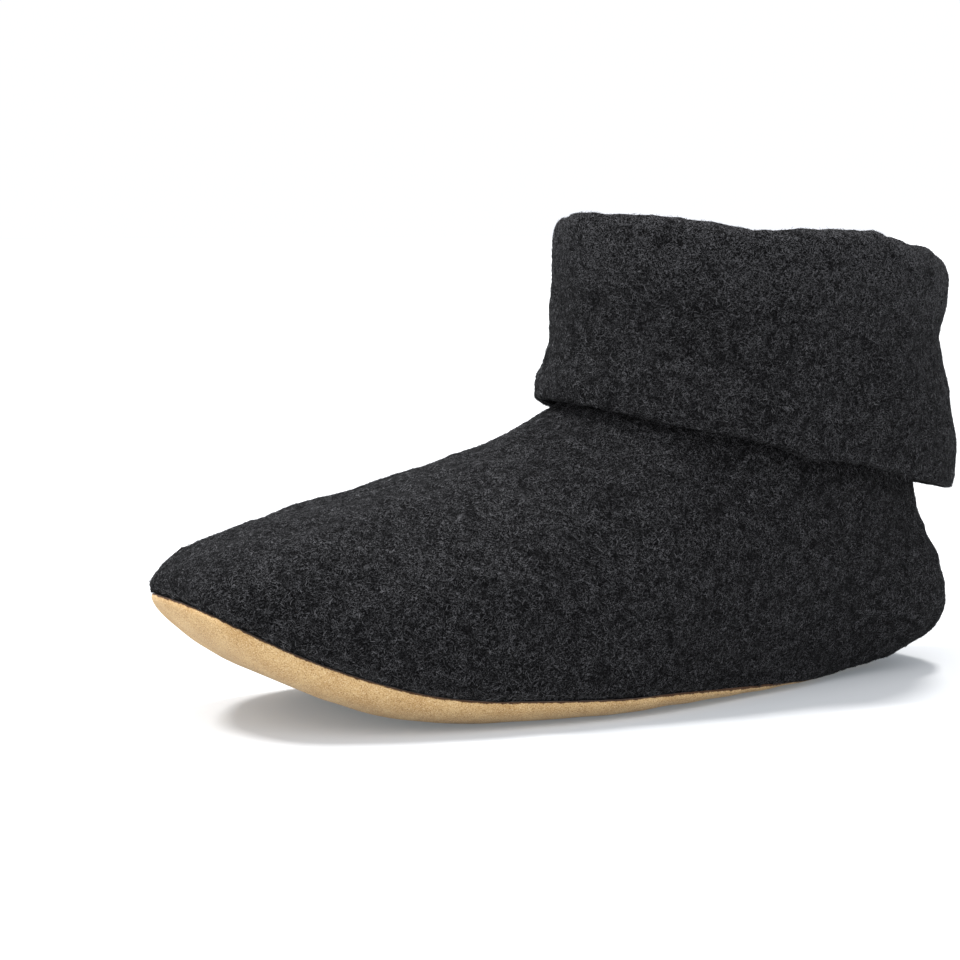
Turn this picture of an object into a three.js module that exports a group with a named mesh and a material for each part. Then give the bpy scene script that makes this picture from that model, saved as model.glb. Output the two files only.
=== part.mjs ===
// Wool felt slipper with a folded cuff and a suede sole: the left shoe, standing empty on its sole.
// Millimetres. +X points to the toe, +Y to the outer side of the foot, +Z up.
// The origin is on the floor below the middle of the ankle.
import * as THREE from 'three';
import { mergeVertices } from 'three/addons/utils/BufferGeometryUtils.js';

// Sizes of the sole
const LENGTH = 274; // heel to toe, along the seam of the sole
const HEEL_LENGTH = 76; // from the heel end of that length to the middle of the ankle
const BALL_WIDTH = 94; // across the seam at the ball of the foot
const SOLE_WRAP = 10; // height of the seam above the underside, at its highest
const SOLE_TUCK = 15; // how far the rounded edge of the sole reaches in under the foot
const SOLE_SWELL = 0.8; // how far the edge of the sole swells out below the seam
const TOE_SPRING = 34; // lift of the underside at the toe
const TOE_SPRING_START = 0.675; // share of the length where the toe begins to lift
const TOE_SPRING_CURVE = 2.1; // exponent of that lift
const HEEL_RISE = 6.8; // lift of the underside at the back of the heel
const HEEL_RISE_END = 0.25; // share of the length where that lift ends
const HEEL_RISE_CURVE = 1.7; // exponent of that lift
const ARCH_RISE = 0.3; // lift of the underside in the waist
const ARCH_START = 0.38; // share of the length where the arch begins
const ARCH_END = 0.56; // share of the length where the arch ends

// Sizes of the upper
const INSTEP_HEIGHT = 92; // ankle line in front
const HEEL_HEIGHT = 66; // ankle line behind
const ANKLE_LENGTH = 124; // ankle line, front to back
const ANKLE_WIDTH = 80; // ankle line, across
const SHAFT_LENGTH = 128; // top edge of the shaft, front to back
const SHAFT_WIDTH = 84; // top edge of the shaft, across
const SHAFT_LEAN = 3; // how far the top edge of the shaft leans back
const NECK = 0.3; // how far the slope of the instep runs on into the shaft
const SHAFT_RISE = 0.4; // how much of the shaft below its top edge stands straight

// Sizes of the cuff
const HEM_FRONT_HEIGHT = 92.4;
const HEM_BACK_HEIGHT = 59.4;
const RIM_FRONT_HEIGHT = 149; // top of the fold in front
const RIM_BACK_HEIGHT = 137.5; // top of the fold behind
const RIM_SLUMP = 4; // extra fall of the fold at the very back
const RIM_SLUMP_SPREAD = 3; // the higher, the narrower that fall
const FOLD_RISE = 8; // height of the rounded fold
const FOLD_LEG = 3; // straight leg of the cuff between the fold and the shaft's top edge

// Thicknesses and clearance
const WOOL = 3; // felted wool of the upper and of the cuff
const SUEDE = 2;
const FOOTBED = 6;
const CLEARANCE = 0.3;

// Fineness of the facets
const RIB_STEPS = 4; // columns from one rib to the next
const FOOT_ROWS = 12;
const SHAFT_ROWS = 4;
const EDGE_STEPS = 6; // rows round the edge of the sole
const CROWN_STEPS = 6; // rows over the fold of the cuff
const LADDER_STEPS = 4; // cells across the sole

// Ribs of the foot, round the seam from the toe over the outer side, the heel and the inner side.
// along: share of LENGTH; side: share of BALL_WIDTH;
// wrap: share of the way from the suede's own thickness to SOLE_WRAP;
// bulge: first pull outwards, share of BALL_WIDTH; lift: first pull upwards, share of INSTEP_HEIGHT;
// reach: last pull outwards, share of LENGTH; drop: last pull downwards, share of INSTEP_HEIGHT;
// turn: place on the ankle line, in degrees from its front; tuck: share of SOLE_TUCK.
const RIB_COLUMNS = ['along', 'side', 'wrap', 'bulge', 'lift', 'reach', 'drop', 'turn', 'tuck'];
const RIBS = {
  toe_tip: [1.0, -0.08, 0.42, 0.045, 0.21, 0.125, 0.27, 0, 0.9],
  toe_out: [0.962, 0.222, 0.79, 0.04, 0.29, 0.117, 0.31, 11, 1],
  little_toe: [0.85, 0.385, 1.03, 0.05, 0.3, 0.095, 0.28, 24, 0.95],
  ball_out: [0.722, 0.472, 0.93, 0.05, 0.35, 0.058, 0.28, 42, 1.25],
  waist_out: [0.53, 0.51, 0.54, 0.06, 0.39, 0.022, 0.33, 68, 0.9],
  seat_out: [0.34, 0.4, 0.26, 0.09, 0.38, 0.007, 0.35, 98, 0.95],
  heel_out: [0.185, 0.285, 0.3, 0.145, 0.275, 0, 0.32, 130, 1.1],
  heel_corner_out: [0.08, 0.183, 0.1, 0.285, 0.14, 0, 0.27, 156, 1],
  heel_back: [0.05, 0, 0.1, 0.305, 0.135, 0, 0.31, 180, 1],
  heel_corner_in: [0.08, -0.185, 0.1, 0.285, 0.14, 0, 0.27, 204, 1],
  heel_in: [0.185, -0.29, 0.3, 0.145, 0.275, 0, 0.32, 230, 1.1],
  seat_in: [0.34, -0.365, 0.22, 0.09, 0.38, 0.007, 0.35, 262, 1],
  waist_in: [0.53, -0.41, 0.6, 0.05, 0.41, 0.022, 0.33, 292, 1],
  ball_in: [0.736, -0.5, 0.84, 0.05, 0.37, 0.058, 0.3, 318, 1.1],
  big_toe: [0.88, -0.445, 0.84, 0.05, 0.32, 0.102, 0.31, 337, 1.08],
  toe_in: [0.962, -0.285, 0.7, 0.045, 0.28, 0.125, 0.31, 349, 1.15],
};

// Outer face of the cuff, from its hem up to the fold.
// level: share of the height from hem to rim; front, side, back: how far the face stands off
// the line of the shaft there, in shares of the wool's thickness.
const CUFF_LEVELS = [
  { level: 0.015, front: 2.95, side: 3.0, back: 4.9 },
  { level: 0.09, front: 2.8, side: 2.9, back: 4.9 },
  { level: 0.2, front: 2.15, side: 2.6, back: 4.6 },
  { level: 0.32, front: 1.55, side: 2.2, back: 4.15 },
  { level: 0.44, front: 1.4, side: 1.9, back: 3.2 },
  { level: 0.56, front: 1.35, side: 1.6, back: 2.05 },
  { level: 0.68, front: 1.4, side: 1.6, back: 1.6 },
  { level: 0.8, front: 1.4, side: 1.6, back: 2.1 },
];

// Soft folds of the cuff. turn and spread: place round the leg, in degrees; the rest in shares of
// the wool's thickness: rim and hem move that edge up; shoulder, waist and flare move the face out
// at the heights of FOLD_HEIGHTS.
const CUFF_FOLDS = [
  { turn: 15, spread: 10, rim: 0.1, shoulder: 0.15, waist: 0.0, flare: 0.1, hem: 0.15 },
  { turn: 46, spread: 16, rim: -0.1, shoulder: 0.1, waist: -0.1, flare: 0.0, hem: -0.3 },
  { turn: 66, spread: 12, rim: -0.6, shoulder: -0.35, waist: -0.15, flare: 0.1, hem: 0.0 },
  { turn: 84, spread: 8, rim: 0.0, shoulder: 0.0, waist: 0.1, flare: 0.3, hem: -0.62 },
  { turn: 104, spread: 9, rim: 0.45, shoulder: 0.15, waist: -0.25, flare: 0.0, hem: 0.2 },
  { turn: 140, spread: 14, rim: -0.2, shoulder: 0.0, waist: -0.25, flare: 0.2, hem: 0.15 },
  { turn: 205, spread: 16, rim: -0.2, shoulder: -0.15, waist: 0.15, flare: 0.1, hem: -0.15 },
  { turn: 262, spread: 19, rim: 1.3, shoulder: 0.2, waist: -0.15, flare: 0.15, hem: 0.25 },
  { turn: 318, spread: 15, rim: -0.1, shoulder: -0.15, waist: 0.05, flare: 0.05, hem: -0.2 },
  { turn: 345, spread: 14, rim: -0.6, shoulder: -0.1, waist: 0.0, flare: 0.0, hem: 0.1 },
];

// Where each kind of fold is deepest, as a share of the height from hem to rim, and how far it runs
const FOLD_HEIGHTS = {
  shoulder: { level: 0.8, spread: 0.25 },
  waist: { level: 0.45, spread: 0.25 },
  flare: { level: 0, spread: 0.3 },
};

const WOOL_COLOUR = 0x3f4043;
const CUFF_COLOUR = 0x3a3b3e;
const SUEDE_COLOUR = 0xcfae80;
const FOOTBED_COLOUR = 0x4a4a4d;

const UP = new THREE.Vector3(0, 0, 1);
const RIB_COUNT = Object.keys(RIBS).length;
const COLUMNS = RIB_COUNT * RIB_STEPS;
const HEEL_BACK = -HEEL_LENGTH;

const mix = (a, b, share) => a + (b - a) * share;

// Smooth closed curve through a list of numbers
function around(values, position) {
  const count = values.length;
  const first = Math.floor(position);
  const t = position - first;
  const [a, b, c, d] = [-1, 0, 1, 2].map((step) => values[(first + step + count) % count]);
  const bend = (2 * a - 5 * b + 4 * c - d) * t * t + (3 * b - a - 3 * c + d) * t * t * t;
  return 0.5 * (2 * b + (c - a) * t + bend);
}

// Rib values at one column, from the table
function ribAt(column) {
  const position = column / RIB_STEPS;
  const rib = {};
  RIB_COLUMNS.forEach((name, place) => {
    const values = Object.values(RIBS).map((row) => row[place]);
    if (name === 'turn') {
      const share = 360 / RIB_COUNT;
      const uneven = values.map((value, row) => value - row * share);
      rib.turn = THREE.MathUtils.degToRad(around(uneven, position) + position * share);
    } else {
      rib[name] = around(values, position);
    }
  });
  return rib;
}

// Height of the underside above the floor
function underside(x) {
  const share = (x - HEEL_BACK) / LENGTH;
  const toe = Math.max(0, (share - TOE_SPRING_START) / (1 - TOE_SPRING_START));
  const heel = Math.max(0, (HEEL_RISE_END - share) / HEEL_RISE_END);
  const waist = THREE.MathUtils.clamp((share - ARCH_START) / (ARCH_END - ARCH_START), 0, 1);
  const arch = ARCH_RISE * Math.sin(Math.PI * waist) ** 2;
  return TOE_SPRING * toe ** TOE_SPRING_CURVE + HEEL_RISE * heel ** HEEL_RISE_CURVE + arch;
}

// Height of a line that falls evenly from its front to its back
function slopedHeight(turn, front, back) {
  return mix(back, front, (1 + Math.cos(turn)) / 2);
}

// Top of the cuff's fold, which slumps a little at the very back
function rimHeight(turn) {
  const slump = RIM_SLUMP * Math.max(0, -Math.cos(turn)) ** RIM_SLUMP_SPREAD;
  return slopedHeight(turn, RIM_FRONT_HEIGHT, RIM_BACK_HEIGHT) - slump;
}

// Oval line round the leg: its point and its outward direction at a turn
function oval(turn, middle, length, width, height) {
  const cos = Math.cos(turn);
  const sin = Math.sin(turn);
  const point = new THREE.Vector3(middle + (length / 2) * cos, (width / 2) * sin, height);
  const outward = new THREE.Vector3(cos / length, sin / width, 0).normalize();
  return { point, outward };
}

function bezier(points, t) {
  const weights = [(1 - t) ** 3, 3 * (1 - t) ** 2 * t, 3 * (1 - t) * t * t, t ** 3];
  const sum = new THREE.Vector3();
  points.forEach((point, place) => sum.addScaledVector(point, weights[place]));
  return sum;
}

// Everything that the pieces share at one column: seam, directions, ankle and shaft
function columnAt(column) {
  const rib = ribAt(column);
  const x = HEEL_BACK + rib.along * LENGTH;
  const wrap = mix(SUEDE + CLEARANCE, SOLE_WRAP, rib.wrap);
  const seam = new THREE.Vector3(x, rib.side * BALL_WIDTH, underside(x) + wrap);
  const ankleHeight = slopedHeight(rib.turn, INSTEP_HEIGHT, HEEL_HEIGHT);
  const ankle = oval(rib.turn, 0, ANKLE_LENGTH, ANKLE_WIDTH, ankleHeight);
  const shaftHeight = rimHeight(rib.turn) - FOLD_RISE - FOLD_LEG - CLEARANCE;
  const shaft = oval(rib.turn, -SHAFT_LEAN, SHAFT_LENGTH, SHAFT_WIDTH, shaftHeight);
  return { rib, wrap, seam, ankle, shaft };
}

const columns = Array.from({ length: COLUMNS }, (_, column) => columnAt(column));
columns.forEach((here, column) => {
  const next = columns[(column + 1) % COLUMNS].seam;
  const before = columns[(column + COLUMNS - 1) % COLUMNS].seam;
  here.outward = new THREE.Vector3(next.y - before.y, before.x - next.x, 0).normalize();
});

// Outer face of the foot and the shaft, one list of points from the seam to the top edge
function outerRib({ rib, seam, outward, ankle, shaft }) {
  const start = seam.clone().addScaledVector(UP, CLEARANCE);
  const rise = start.clone()
    .addScaledVector(outward, rib.bulge * BALL_WIDTH)
    .addScaledVector(UP, rib.lift * INSTEP_HEIGHT);
  const slope = ankle.outward.clone()
    .multiplyScalar(rib.reach * LENGTH)
    .addScaledVector(UP, -rib.drop * INSTEP_HEIGHT);
  const foot = [start, rise, ankle.point.clone().add(slope), ankle.point];
  const neck = ankle.point.clone().addScaledVector(slope, -NECK);
  const below = shaft.point.clone().lerp(ankle.point, SHAFT_RISE);
  const leg = [ankle.point, neck, below, shaft.point];
  const points = [];
  for (let row = 0; row < FOOT_ROWS; row += 1) points.push(bezier(foot, row / FOOT_ROWS));
  for (let row = 0; row <= SHAFT_ROWS; row += 1) points.push(bezier(leg, row / SHAFT_ROWS));
  return points;
}

// Inner face: the outer face moved in by a thickness, square to it, and level at both ends
function innerFace(outer, thickness) {
  const last = outer[0].length - 1;
  return outer.map((points, column) => points.map((point, row) => {
    const next = outer[(column + 1) % COLUMNS][row];
    const before = outer[(column + COLUMNS - 1) % COLUMNS][row];
    const round = next.clone().sub(before);
    let along = UP.clone();
    if (row > 0 && row < last) along = points[row + 1].clone().sub(points[row - 1]);
    const normal = round.cross(along).normalize();
    if (row === 0 || row === last) normal.setZ(0).normalize();
    return point.clone().addScaledVector(normal, -thickness);
  }));
}

// Triangles between neighbouring columns of points; a closed loop also joins last point to first
function skin(faces, closedLoop) {
  const triangles = [];
  const rows = faces[0].length;
  const steps = closedLoop ? rows : rows - 1;
  for (let column = 0; column < COLUMNS; column += 1) {
    const here = faces[column];
    const next = faces[(column + 1) % COLUMNS];
    for (let row = 0; row < steps; row += 1) {
      const above = (row + 1) % rows;
      triangles.push([here[row], next[row], next[above]]);
      triangles.push([here[row], next[above], here[above]]);
    }
  }
  return triangles;
}

// Closes a ring of points across the foot, with cells whose height follows the underside
function ladder(ring, lift, facesUp) {
  const half = COLUMNS / 2;
  const cell = (column, step) => {
    const outer = ring[column];
    const inner = ring[(COLUMNS - column) % COLUMNS];
    const point = outer.clone().lerp(inner, step / LADDER_STEPS);
    if (step > 0 && step < LADDER_STEPS) point.setZ(underside(point.x) + lift);
    return point;
  };
  const triangles = [];
  const add = (a, b, c) => {
    const flat = a.distanceTo(b) === 0 || b.distanceTo(c) === 0 || c.distanceTo(a) === 0;
    if (!flat) triangles.push(facesUp ? [a, b, c] : [a, c, b]);
  };
  const corner = (column, step) => cell(column, column === 0 || column === half ? 0 : step);
  for (let column = 0; column < half; column += 1) {
    for (let step = 0; step < LADDER_STEPS; step += 1) {
      const [a, b] = [corner(column, step), corner(column + 1, step)];
      const [c, d] = [corner(column + 1, step + 1), corner(column, step + 1)];
      add(a, b, c);
      add(a, c, d);
    }
  }
  return triangles;
}

function piece(name, triangles, colour) {
  const geometry = new THREE.BufferGeometry();
  const numbers = triangles.flat().flatMap((point) => [point.x, point.y, point.z]);
  geometry.setAttribute('position', new THREE.Float32BufferAttribute(numbers, 3));
  const merged = mergeVertices(geometry, 1e-4);
  merged.computeVertexNormals();
  const material = new THREE.MeshStandardMaterial({ color: colour, roughness: 0.95, metalness: 0 });
  const mesh = new THREE.Mesh(merged, material);
  mesh.name = name;
  return mesh;
}

// Section of the sole's edge at one column, from under the foot up to the seam.
// inset: how far the face lies inside the suede's outer face.
function soleEdge({ rib, wrap, seam, outward }, inset) {
  const points = [];
  for (let step = 0; step <= EDGE_STEPS; step += 1) {
    const angle = (Math.PI / 2) * (1 - step / EDGE_STEPS);
    const reach = SOLE_SWELL * Math.sin(2 * angle) - SOLE_TUCK * rib.tuck * (1 - Math.cos(angle));
    const sideways = reach - inset * Math.cos(angle);
    const upwards = wrap * (1 - Math.sin(angle)) + inset * Math.sin(angle);
    const point = seam.clone().addScaledVector(outward, sideways);
    const ownHeight = step === EDGE_STEPS ? seam.z : underside(point.x) + upwards;
    points.push(point.setZ(ownHeight));
  }
  return points;
}

// Suede tray: underside, rounded edge up to the seam, and the same again inside
function outsole() {
  const outer = columns.map((here) => soleEdge(here, 0));
  const inner = columns.map((here) => soleEdge(here, SUEDE).reverse());
  const walls = skin(columns.map((_, column) => [...outer[column], ...inner[column]]), false);
  const bottom = ladder(outer.map((points) => points[0]), 0, false);
  const floor = ladder(inner.map((points) => points[EDGE_STEPS]), SUEDE, true);
  return piece('outsole', [...walls, ...bottom, ...floor], SUEDE_COLOUR);
}

// Point of a rising rib at a height above the underside, or its lowest point where that is higher
function atLift(rib, lift) {
  const above = rib.findIndex((point) => point.z > underside(point.x) + lift);
  if (above === 0) return rib[0].clone();
  const [low, high] = [rib[above - 1], rib[above]];
  const height = underside(low.x) + lift;
  return low.clone().lerp(high, (height - low.z) / (high.z - low.z));
}

// Footbed that lies in the tray and fills it out to the wool, clear of both
function insole() {
  const bottomLift = SUEDE + CLEARANCE;
  const topLift = bottomLift + FOOTBED;
  const roundOff = FOOTBED / 4;
  const walls = innerFace(columns.map(outerRib), WOOL + 2 * CLEARANCE);
  const faces = columns.map((here, column) => {
    const lower = soleEdge(here, bottomLift).slice(0, EDGE_STEPS / 2 + 1);
    const shoulder = atLift(walls[column], topLift - roundOff);
    shoulder.setZ(underside(shoulder.x) + topLift - roundOff);
    const top = atLift(walls[column], topLift).addScaledVector(here.outward, -roundOff);
    top.setZ(underside(top.x) + topLift);
    return [...lower, shoulder, top];
  });
  const sides = skin(faces, false);
  const bottom = ladder(faces.map((points) => points[0]), bottomLift, false);
  const top = ladder(faces.map((points) => points[points.length - 1]), topLift, true);
  return piece('insole', [...sides, ...bottom, ...top], FOOTBED_COLOUR);
}

// Foot and shaft in one wall of wool, open at the collar and underneath
function upper() {
  const outer = columns.map(outerRib);
  const inner = innerFace(outer, WOOL);
  const faces = outer.map((points, column) => [...points, ...inner[column].reverse()]);
  return piece('upper', skin(faces, true), WOOL_COLOUR);
}

// How far the folds move the cuff at a turn, for one column of their table
function foldSum(turn, name) {
  return CUFF_FOLDS.reduce((sum, fold) => {
    const ahead = THREE.MathUtils.radToDeg(turn) - fold.turn;
    const gap = THREE.MathUtils.euclideanModulo(ahead + 180, 360) - 180;
    return sum + WOOL * fold[name] * Math.exp(-((gap / fold.spread) ** 2));
  }, 0);
}

// A point off the straight line from ankle to shaft, at a height share between hem and rim
function cuffPoint({ rib, ankle, shaft }, level, offset, rise = 0) {
  const hem = slopedHeight(rib.turn, HEM_FRONT_HEIGHT, HEM_BACK_HEIGHT) + foldSum(rib.turn, 'hem');
  const rim = rimHeight(rib.turn) + foldSum(rib.turn, 'rim');
  const height = mix(hem, rim, level) + rise;
  const share = (height - ankle.point.z) / (shaft.point.z - ankle.point.z);
  const point = ankle.point.clone().lerp(shaft.point, Math.min(share, 1));
  return point.addScaledVector(shaft.outward, offset).setZ(height);
}

// Folded cuff: down on the outside to its hem, and a short leg down to the shaft's top edge
function cuffSection(here) {
  const { rib, shaft } = here;
  const cos = Math.cos(rib.turn);
  const weights = { front: Math.max(cos, 0) ** 2, back: Math.min(cos, 0) ** 2, side: 1 - cos ** 2 };
  const standOff = (row) => {
    const even = row.front * weights.front + row.side * weights.side + row.back * weights.back;
    return Object.entries(FOLD_HEIGHTS).reduce((sum, [name, { level, spread }]) => (
      sum + foldSum(rib.turn, name) * Math.exp(-(((row.level - level) / spread) ** 2))
    ), WOOL * even);
  };
  const outside = CUFF_LEVELS.map((row) => cuffPoint(here, row.level, standOff(row)));
  const inside = CUFF_LEVELS.map((row) => cuffPoint(here, row.level, standOff(row) - WOOL));
  const top = CUFF_LEVELS[CUFF_LEVELS.length - 1];
  const arch = (outerSide, innerSide, rise, steps) => {
    const points = [];
    const middle = (outerSide + innerSide) / 2;
    const half = (outerSide - innerSide) / 2;
    for (let step = 0; step <= steps; step += 1) {
      const angle = (Math.PI * step) / steps;
      const offset = middle + half * Math.cos(angle);
      points.push(cuffPoint(here, 1, offset, rise * Math.sin(angle) - FOLD_RISE));
    }
    return points;
  };
  const crown = arch(standOff(top), -WOOL, FOLD_RISE, CROWN_STEPS);
  const hollow = arch(standOff(top) - WOOL, 0, FOLD_RISE - WOOL, CROWN_STEPS / 2);
  const legEnd = shaft.point.z + CLEARANCE;
  const legInner = crown[crown.length - 1].clone().setZ(legEnd);
  const legOuter = hollow[hollow.length - 1].clone().setZ(legEnd);
  return [...outside, ...crown, legInner, legOuter, ...hollow.reverse(), ...inside.reverse()];
}

function cuff() {
  return piece('cuff', skin(columns.map(cuffSection), true), CUFF_COLOUR);
}

const slipper = new THREE.Group();
slipper.add(outsole(), insole(), upper(), cuff());

export default slipper;
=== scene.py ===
"""Looks of the wool felt slipper: felted charcoal wool, a folded cuff and a tan suede sole.

The shapes are worked out in millimetres, in the shoe's own frame: +X to the toe, +Y to the outer
side, +Z up, origin on the floor below the middle of the ankle. They follow the same ribs and the
same cuff line as the solids of the frame, with a finer mesh, soft creases, lumps and fibres.
"""
import math

import bmesh
import bpy
import numpy as np
from mathutils import Matrix


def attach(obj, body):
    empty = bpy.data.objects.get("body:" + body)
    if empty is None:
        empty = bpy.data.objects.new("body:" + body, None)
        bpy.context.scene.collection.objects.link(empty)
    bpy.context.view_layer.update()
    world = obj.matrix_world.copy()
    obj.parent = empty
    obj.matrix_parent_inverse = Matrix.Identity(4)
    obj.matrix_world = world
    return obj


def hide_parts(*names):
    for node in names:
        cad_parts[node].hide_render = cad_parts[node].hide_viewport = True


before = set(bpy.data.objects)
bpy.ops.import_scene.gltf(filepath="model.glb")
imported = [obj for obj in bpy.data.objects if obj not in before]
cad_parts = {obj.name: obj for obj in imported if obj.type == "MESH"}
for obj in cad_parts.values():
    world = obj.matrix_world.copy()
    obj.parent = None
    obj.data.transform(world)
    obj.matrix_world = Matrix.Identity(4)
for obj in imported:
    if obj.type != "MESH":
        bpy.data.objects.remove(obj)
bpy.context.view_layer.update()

MM = 0.001

# Sizes of the sole
LENGTH = 274.0
HEEL_LENGTH = 76.0
BALL_WIDTH = 94.0
SOLE_WRAP = 10.0
SOLE_TUCK = 15.0
SOLE_SWELL = 0.8
TOE_SPRING = 34.0
TOE_SPRING_START = 0.675
TOE_SPRING_CURVE = 2.1
HEEL_RISE = 6.8
HEEL_RISE_END = 0.25
HEEL_RISE_CURVE = 1.7
ARCH_RISE = 0.3
ARCH_START = 0.38
ARCH_END = 0.56

# Sizes of the upper
INSTEP_HEIGHT = 92.0
HEEL_HEIGHT = 66.0
ANKLE_LENGTH = 124.0
ANKLE_WIDTH = 80.0
SHAFT_LENGTH = 128.0
SHAFT_WIDTH = 84.0
SHAFT_LEAN = 3.0
NECK = 0.3
SHAFT_RISE = 0.4

# Sizes of the cuff
HEM_FRONT_HEIGHT = 92.4
HEM_BACK_HEIGHT = 59.4
RIM_FRONT_HEIGHT = 149.0
RIM_BACK_HEIGHT = 137.5
RIM_SLUMP = 4.0
RIM_SLUMP_SPREAD = 3
FOLD_RISE = 8.0
FOLD_LEG = 3.0

# Thicknesses and clearance
WOOL = 3.0
SUEDE = 2.0
FOOTBED = 6.0
CLEARANCE = 0.3

HEEL_BACK = -HEEL_LENGTH
UP = np.array([0.0, 0.0, 1.0])

# Seam between wool and suede. Each face rounds in towards it by its groove, the wool is frayed
# beside it and has lower lumps over the calm stretch. The suede has a dark brown line of this
# reach, partly its raw edge and stitching, partly painted shade of the groove.
SEAM_REACH = 1.5
SUEDE_GROOVE = {"depth": 0.6, "width": 0.9}
WOOL_GROOVE = {"depth": 0.8, "width": 1.1}
GROOVE_POWER = 1.5
FRAY = {"size": 4.5, "height": 0.32}
FRAY_REACH = 2.5
SEAM_LUMPS = 0.3
SEAM_CALM = 8.0

# Roll of the wool under the heel, in degrees round the edge of the sole: its limit, the roll at
# which the seam starts to lie flush and the one at which it lies flush, and by which share.
# SEAM_BLEND: degrees before the seam over which the sole's edge takes on the seam's own height.
ROLL_LIMIT = 75
ROLL_START = 5
ROLL_FULL = 50
ROLL_FLUSH = 0.85
SEAM_BLEND = 12

# Ribs of the foot, round the seam from the toe over the outer side, the heel and the inner side.
# along: share of LENGTH; side: share of BALL_WIDTH; wrap: share of the way from the suede's own
# thickness to SOLE_WRAP; bulge: first pull outwards, share of BALL_WIDTH; lift: first pull upwards,
# share of INSTEP_HEIGHT; reach: last pull outwards, share of LENGTH; drop: last pull downwards,
# share of INSTEP_HEIGHT; turn: place on the ankle line, in degrees from its front;
# tuck: share of SOLE_TUCK; under: how far the wool rolls in under the heel, in degrees round the
# edge of the sole.
RIB_COLUMNS = ["along", "side", "wrap", "bulge", "lift", "reach", "drop", "turn", "tuck", "under"]
RIBS = {
    "toe_tip": [1.0, -0.08, 0.42, 0.045, 0.21, 0.125, 0.27, 0, 0.9, 0],
    "toe_out": [0.962, 0.222, 0.79, 0.04, 0.29, 0.117, 0.31, 11, 1, 0],
    "little_toe": [0.85, 0.385, 1.03, 0.05, 0.3, 0.095, 0.28, 24, 0.95, 0],
    "ball_out": [0.722, 0.472, 0.93, 0.05, 0.35, 0.058, 0.28, 42, 1.25, 0],
    "waist_out": [0.53, 0.51, 0.54, 0.06, 0.39, 0.022, 0.33, 68, 0.9, 0],
    "seat_out": [0.34, 0.4, 0.26, 0.09, 0.38, 0.007, 0.35, 98, 0.95, 12],
    "heel_out": [0.185, 0.285, 0.3, 0.145, 0.275, 0, 0.32, 130, 1.1, 60],
    "heel_corner_out": [0.08, 0.183, 0.1, 0.285, 0.14, 0, 0.27, 156, 1, 72],
    "heel_back": [0.05, 0, 0.1, 0.305, 0.135, 0, 0.31, 180, 1, 72],
    "heel_corner_in": [0.08, -0.185, 0.1, 0.285, 0.14, 0, 0.27, 204, 1, 72],
    "heel_in": [0.185, -0.29, 0.3, 0.145, 0.275, 0, 0.32, 230, 1.1, 60],
    "seat_in": [0.34, -0.365, 0.22, 0.09, 0.38, 0.007, 0.35, 262, 1, 12],
    "waist_in": [0.53, -0.41, 0.6, 0.05, 0.41, 0.022, 0.33, 292, 1, 0],
    "ball_in": [0.736, -0.5, 0.84, 0.05, 0.37, 0.058, 0.3, 318, 1.1, 0],
    "big_toe": [0.88, -0.445, 0.84, 0.05, 0.32, 0.102, 0.31, 337, 1.08, 0],
    "toe_in": [0.962, -0.285, 0.7, 0.045, 0.28, 0.125, 0.31, 349, 1.15, 0],
}

# Outer face of the cuff, from its hem up to the fold. level: share of the height from hem to rim;
# front, side, back: how far the face stands off the line of the shaft, in shares of the wool.
CUFF_LEVELS = [
    {"level": 0.015, "front": 2.95, "side": 3.0, "back": 4.9},
    {"level": 0.09, "front": 2.8, "side": 2.9, "back": 4.9},
    {"level": 0.2, "front": 2.15, "side": 2.6, "back": 4.6},
    {"level": 0.32, "front": 1.55, "side": 2.2, "back": 4.15},
    {"level": 0.44, "front": 1.4, "side": 1.9, "back": 3.2},
    {"level": 0.56, "front": 1.35, "side": 1.6, "back": 2.05},
    {"level": 0.68, "front": 1.4, "side": 1.6, "back": 1.6},
    {"level": 0.8, "front": 1.4, "side": 1.6, "back": 2.1},
]

# Soft folds of the cuff. turn and spread: place round the leg, in degrees; the rest in shares of the
# wool: rim and hem move that edge up, shoulder, waist and flare move the face out at three heights.
CUFF_FOLDS = [
    {"turn": 15, "spread": 10, "rim": 0.1, "shoulder": 0.15, "waist": 0.0, "flare": 0.1, "hem": 0.15},
    {"turn": 46, "spread": 16, "rim": -0.1, "shoulder": 0.1, "waist": -0.1, "flare": 0.0, "hem": -0.3},
    {"turn": 66, "spread": 12, "rim": -0.6, "shoulder": -0.35, "waist": -0.15, "flare": 0.1, "hem": 0.0},
    {"turn": 84, "spread": 8, "rim": 0.0, "shoulder": 0.0, "waist": 0.1, "flare": 0.3, "hem": -0.62},
    {"turn": 104, "spread": 9, "rim": 0.45, "shoulder": 0.15, "waist": -0.25, "flare": 0.0, "hem": 0.2},
    {"turn": 140, "spread": 14, "rim": -0.2, "shoulder": 0.0, "waist": -0.25, "flare": 0.2, "hem": 0.15},
    {"turn": 205, "spread": 16, "rim": -0.2, "shoulder": -0.15, "waist": 0.15, "flare": 0.1, "hem": -0.15},
    {"turn": 262, "spread": 19, "rim": 1.3, "shoulder": 0.2, "waist": -0.15, "flare": 0.15, "hem": 0.25},
    {"turn": 318, "spread": 15, "rim": -0.1, "shoulder": -0.15, "waist": 0.05, "flare": 0.05, "hem": -0.2},
    {"turn": 345, "spread": 14, "rim": -0.6, "shoulder": -0.1, "waist": 0.0, "flare": 0.0, "hem": 0.1},
]

# Heights at which the folds move the cuff's face out, and how far up and down each one reaches, in
# shares of the height from hem to rim
FOLD_BANDS = {
    "flare": {"level": 0.0, "spread": 0.3},
    "waist": {"level": 0.45, "spread": 0.25},
    "shoulder": {"level": 0.8, "spread": 0.25},
}

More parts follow.
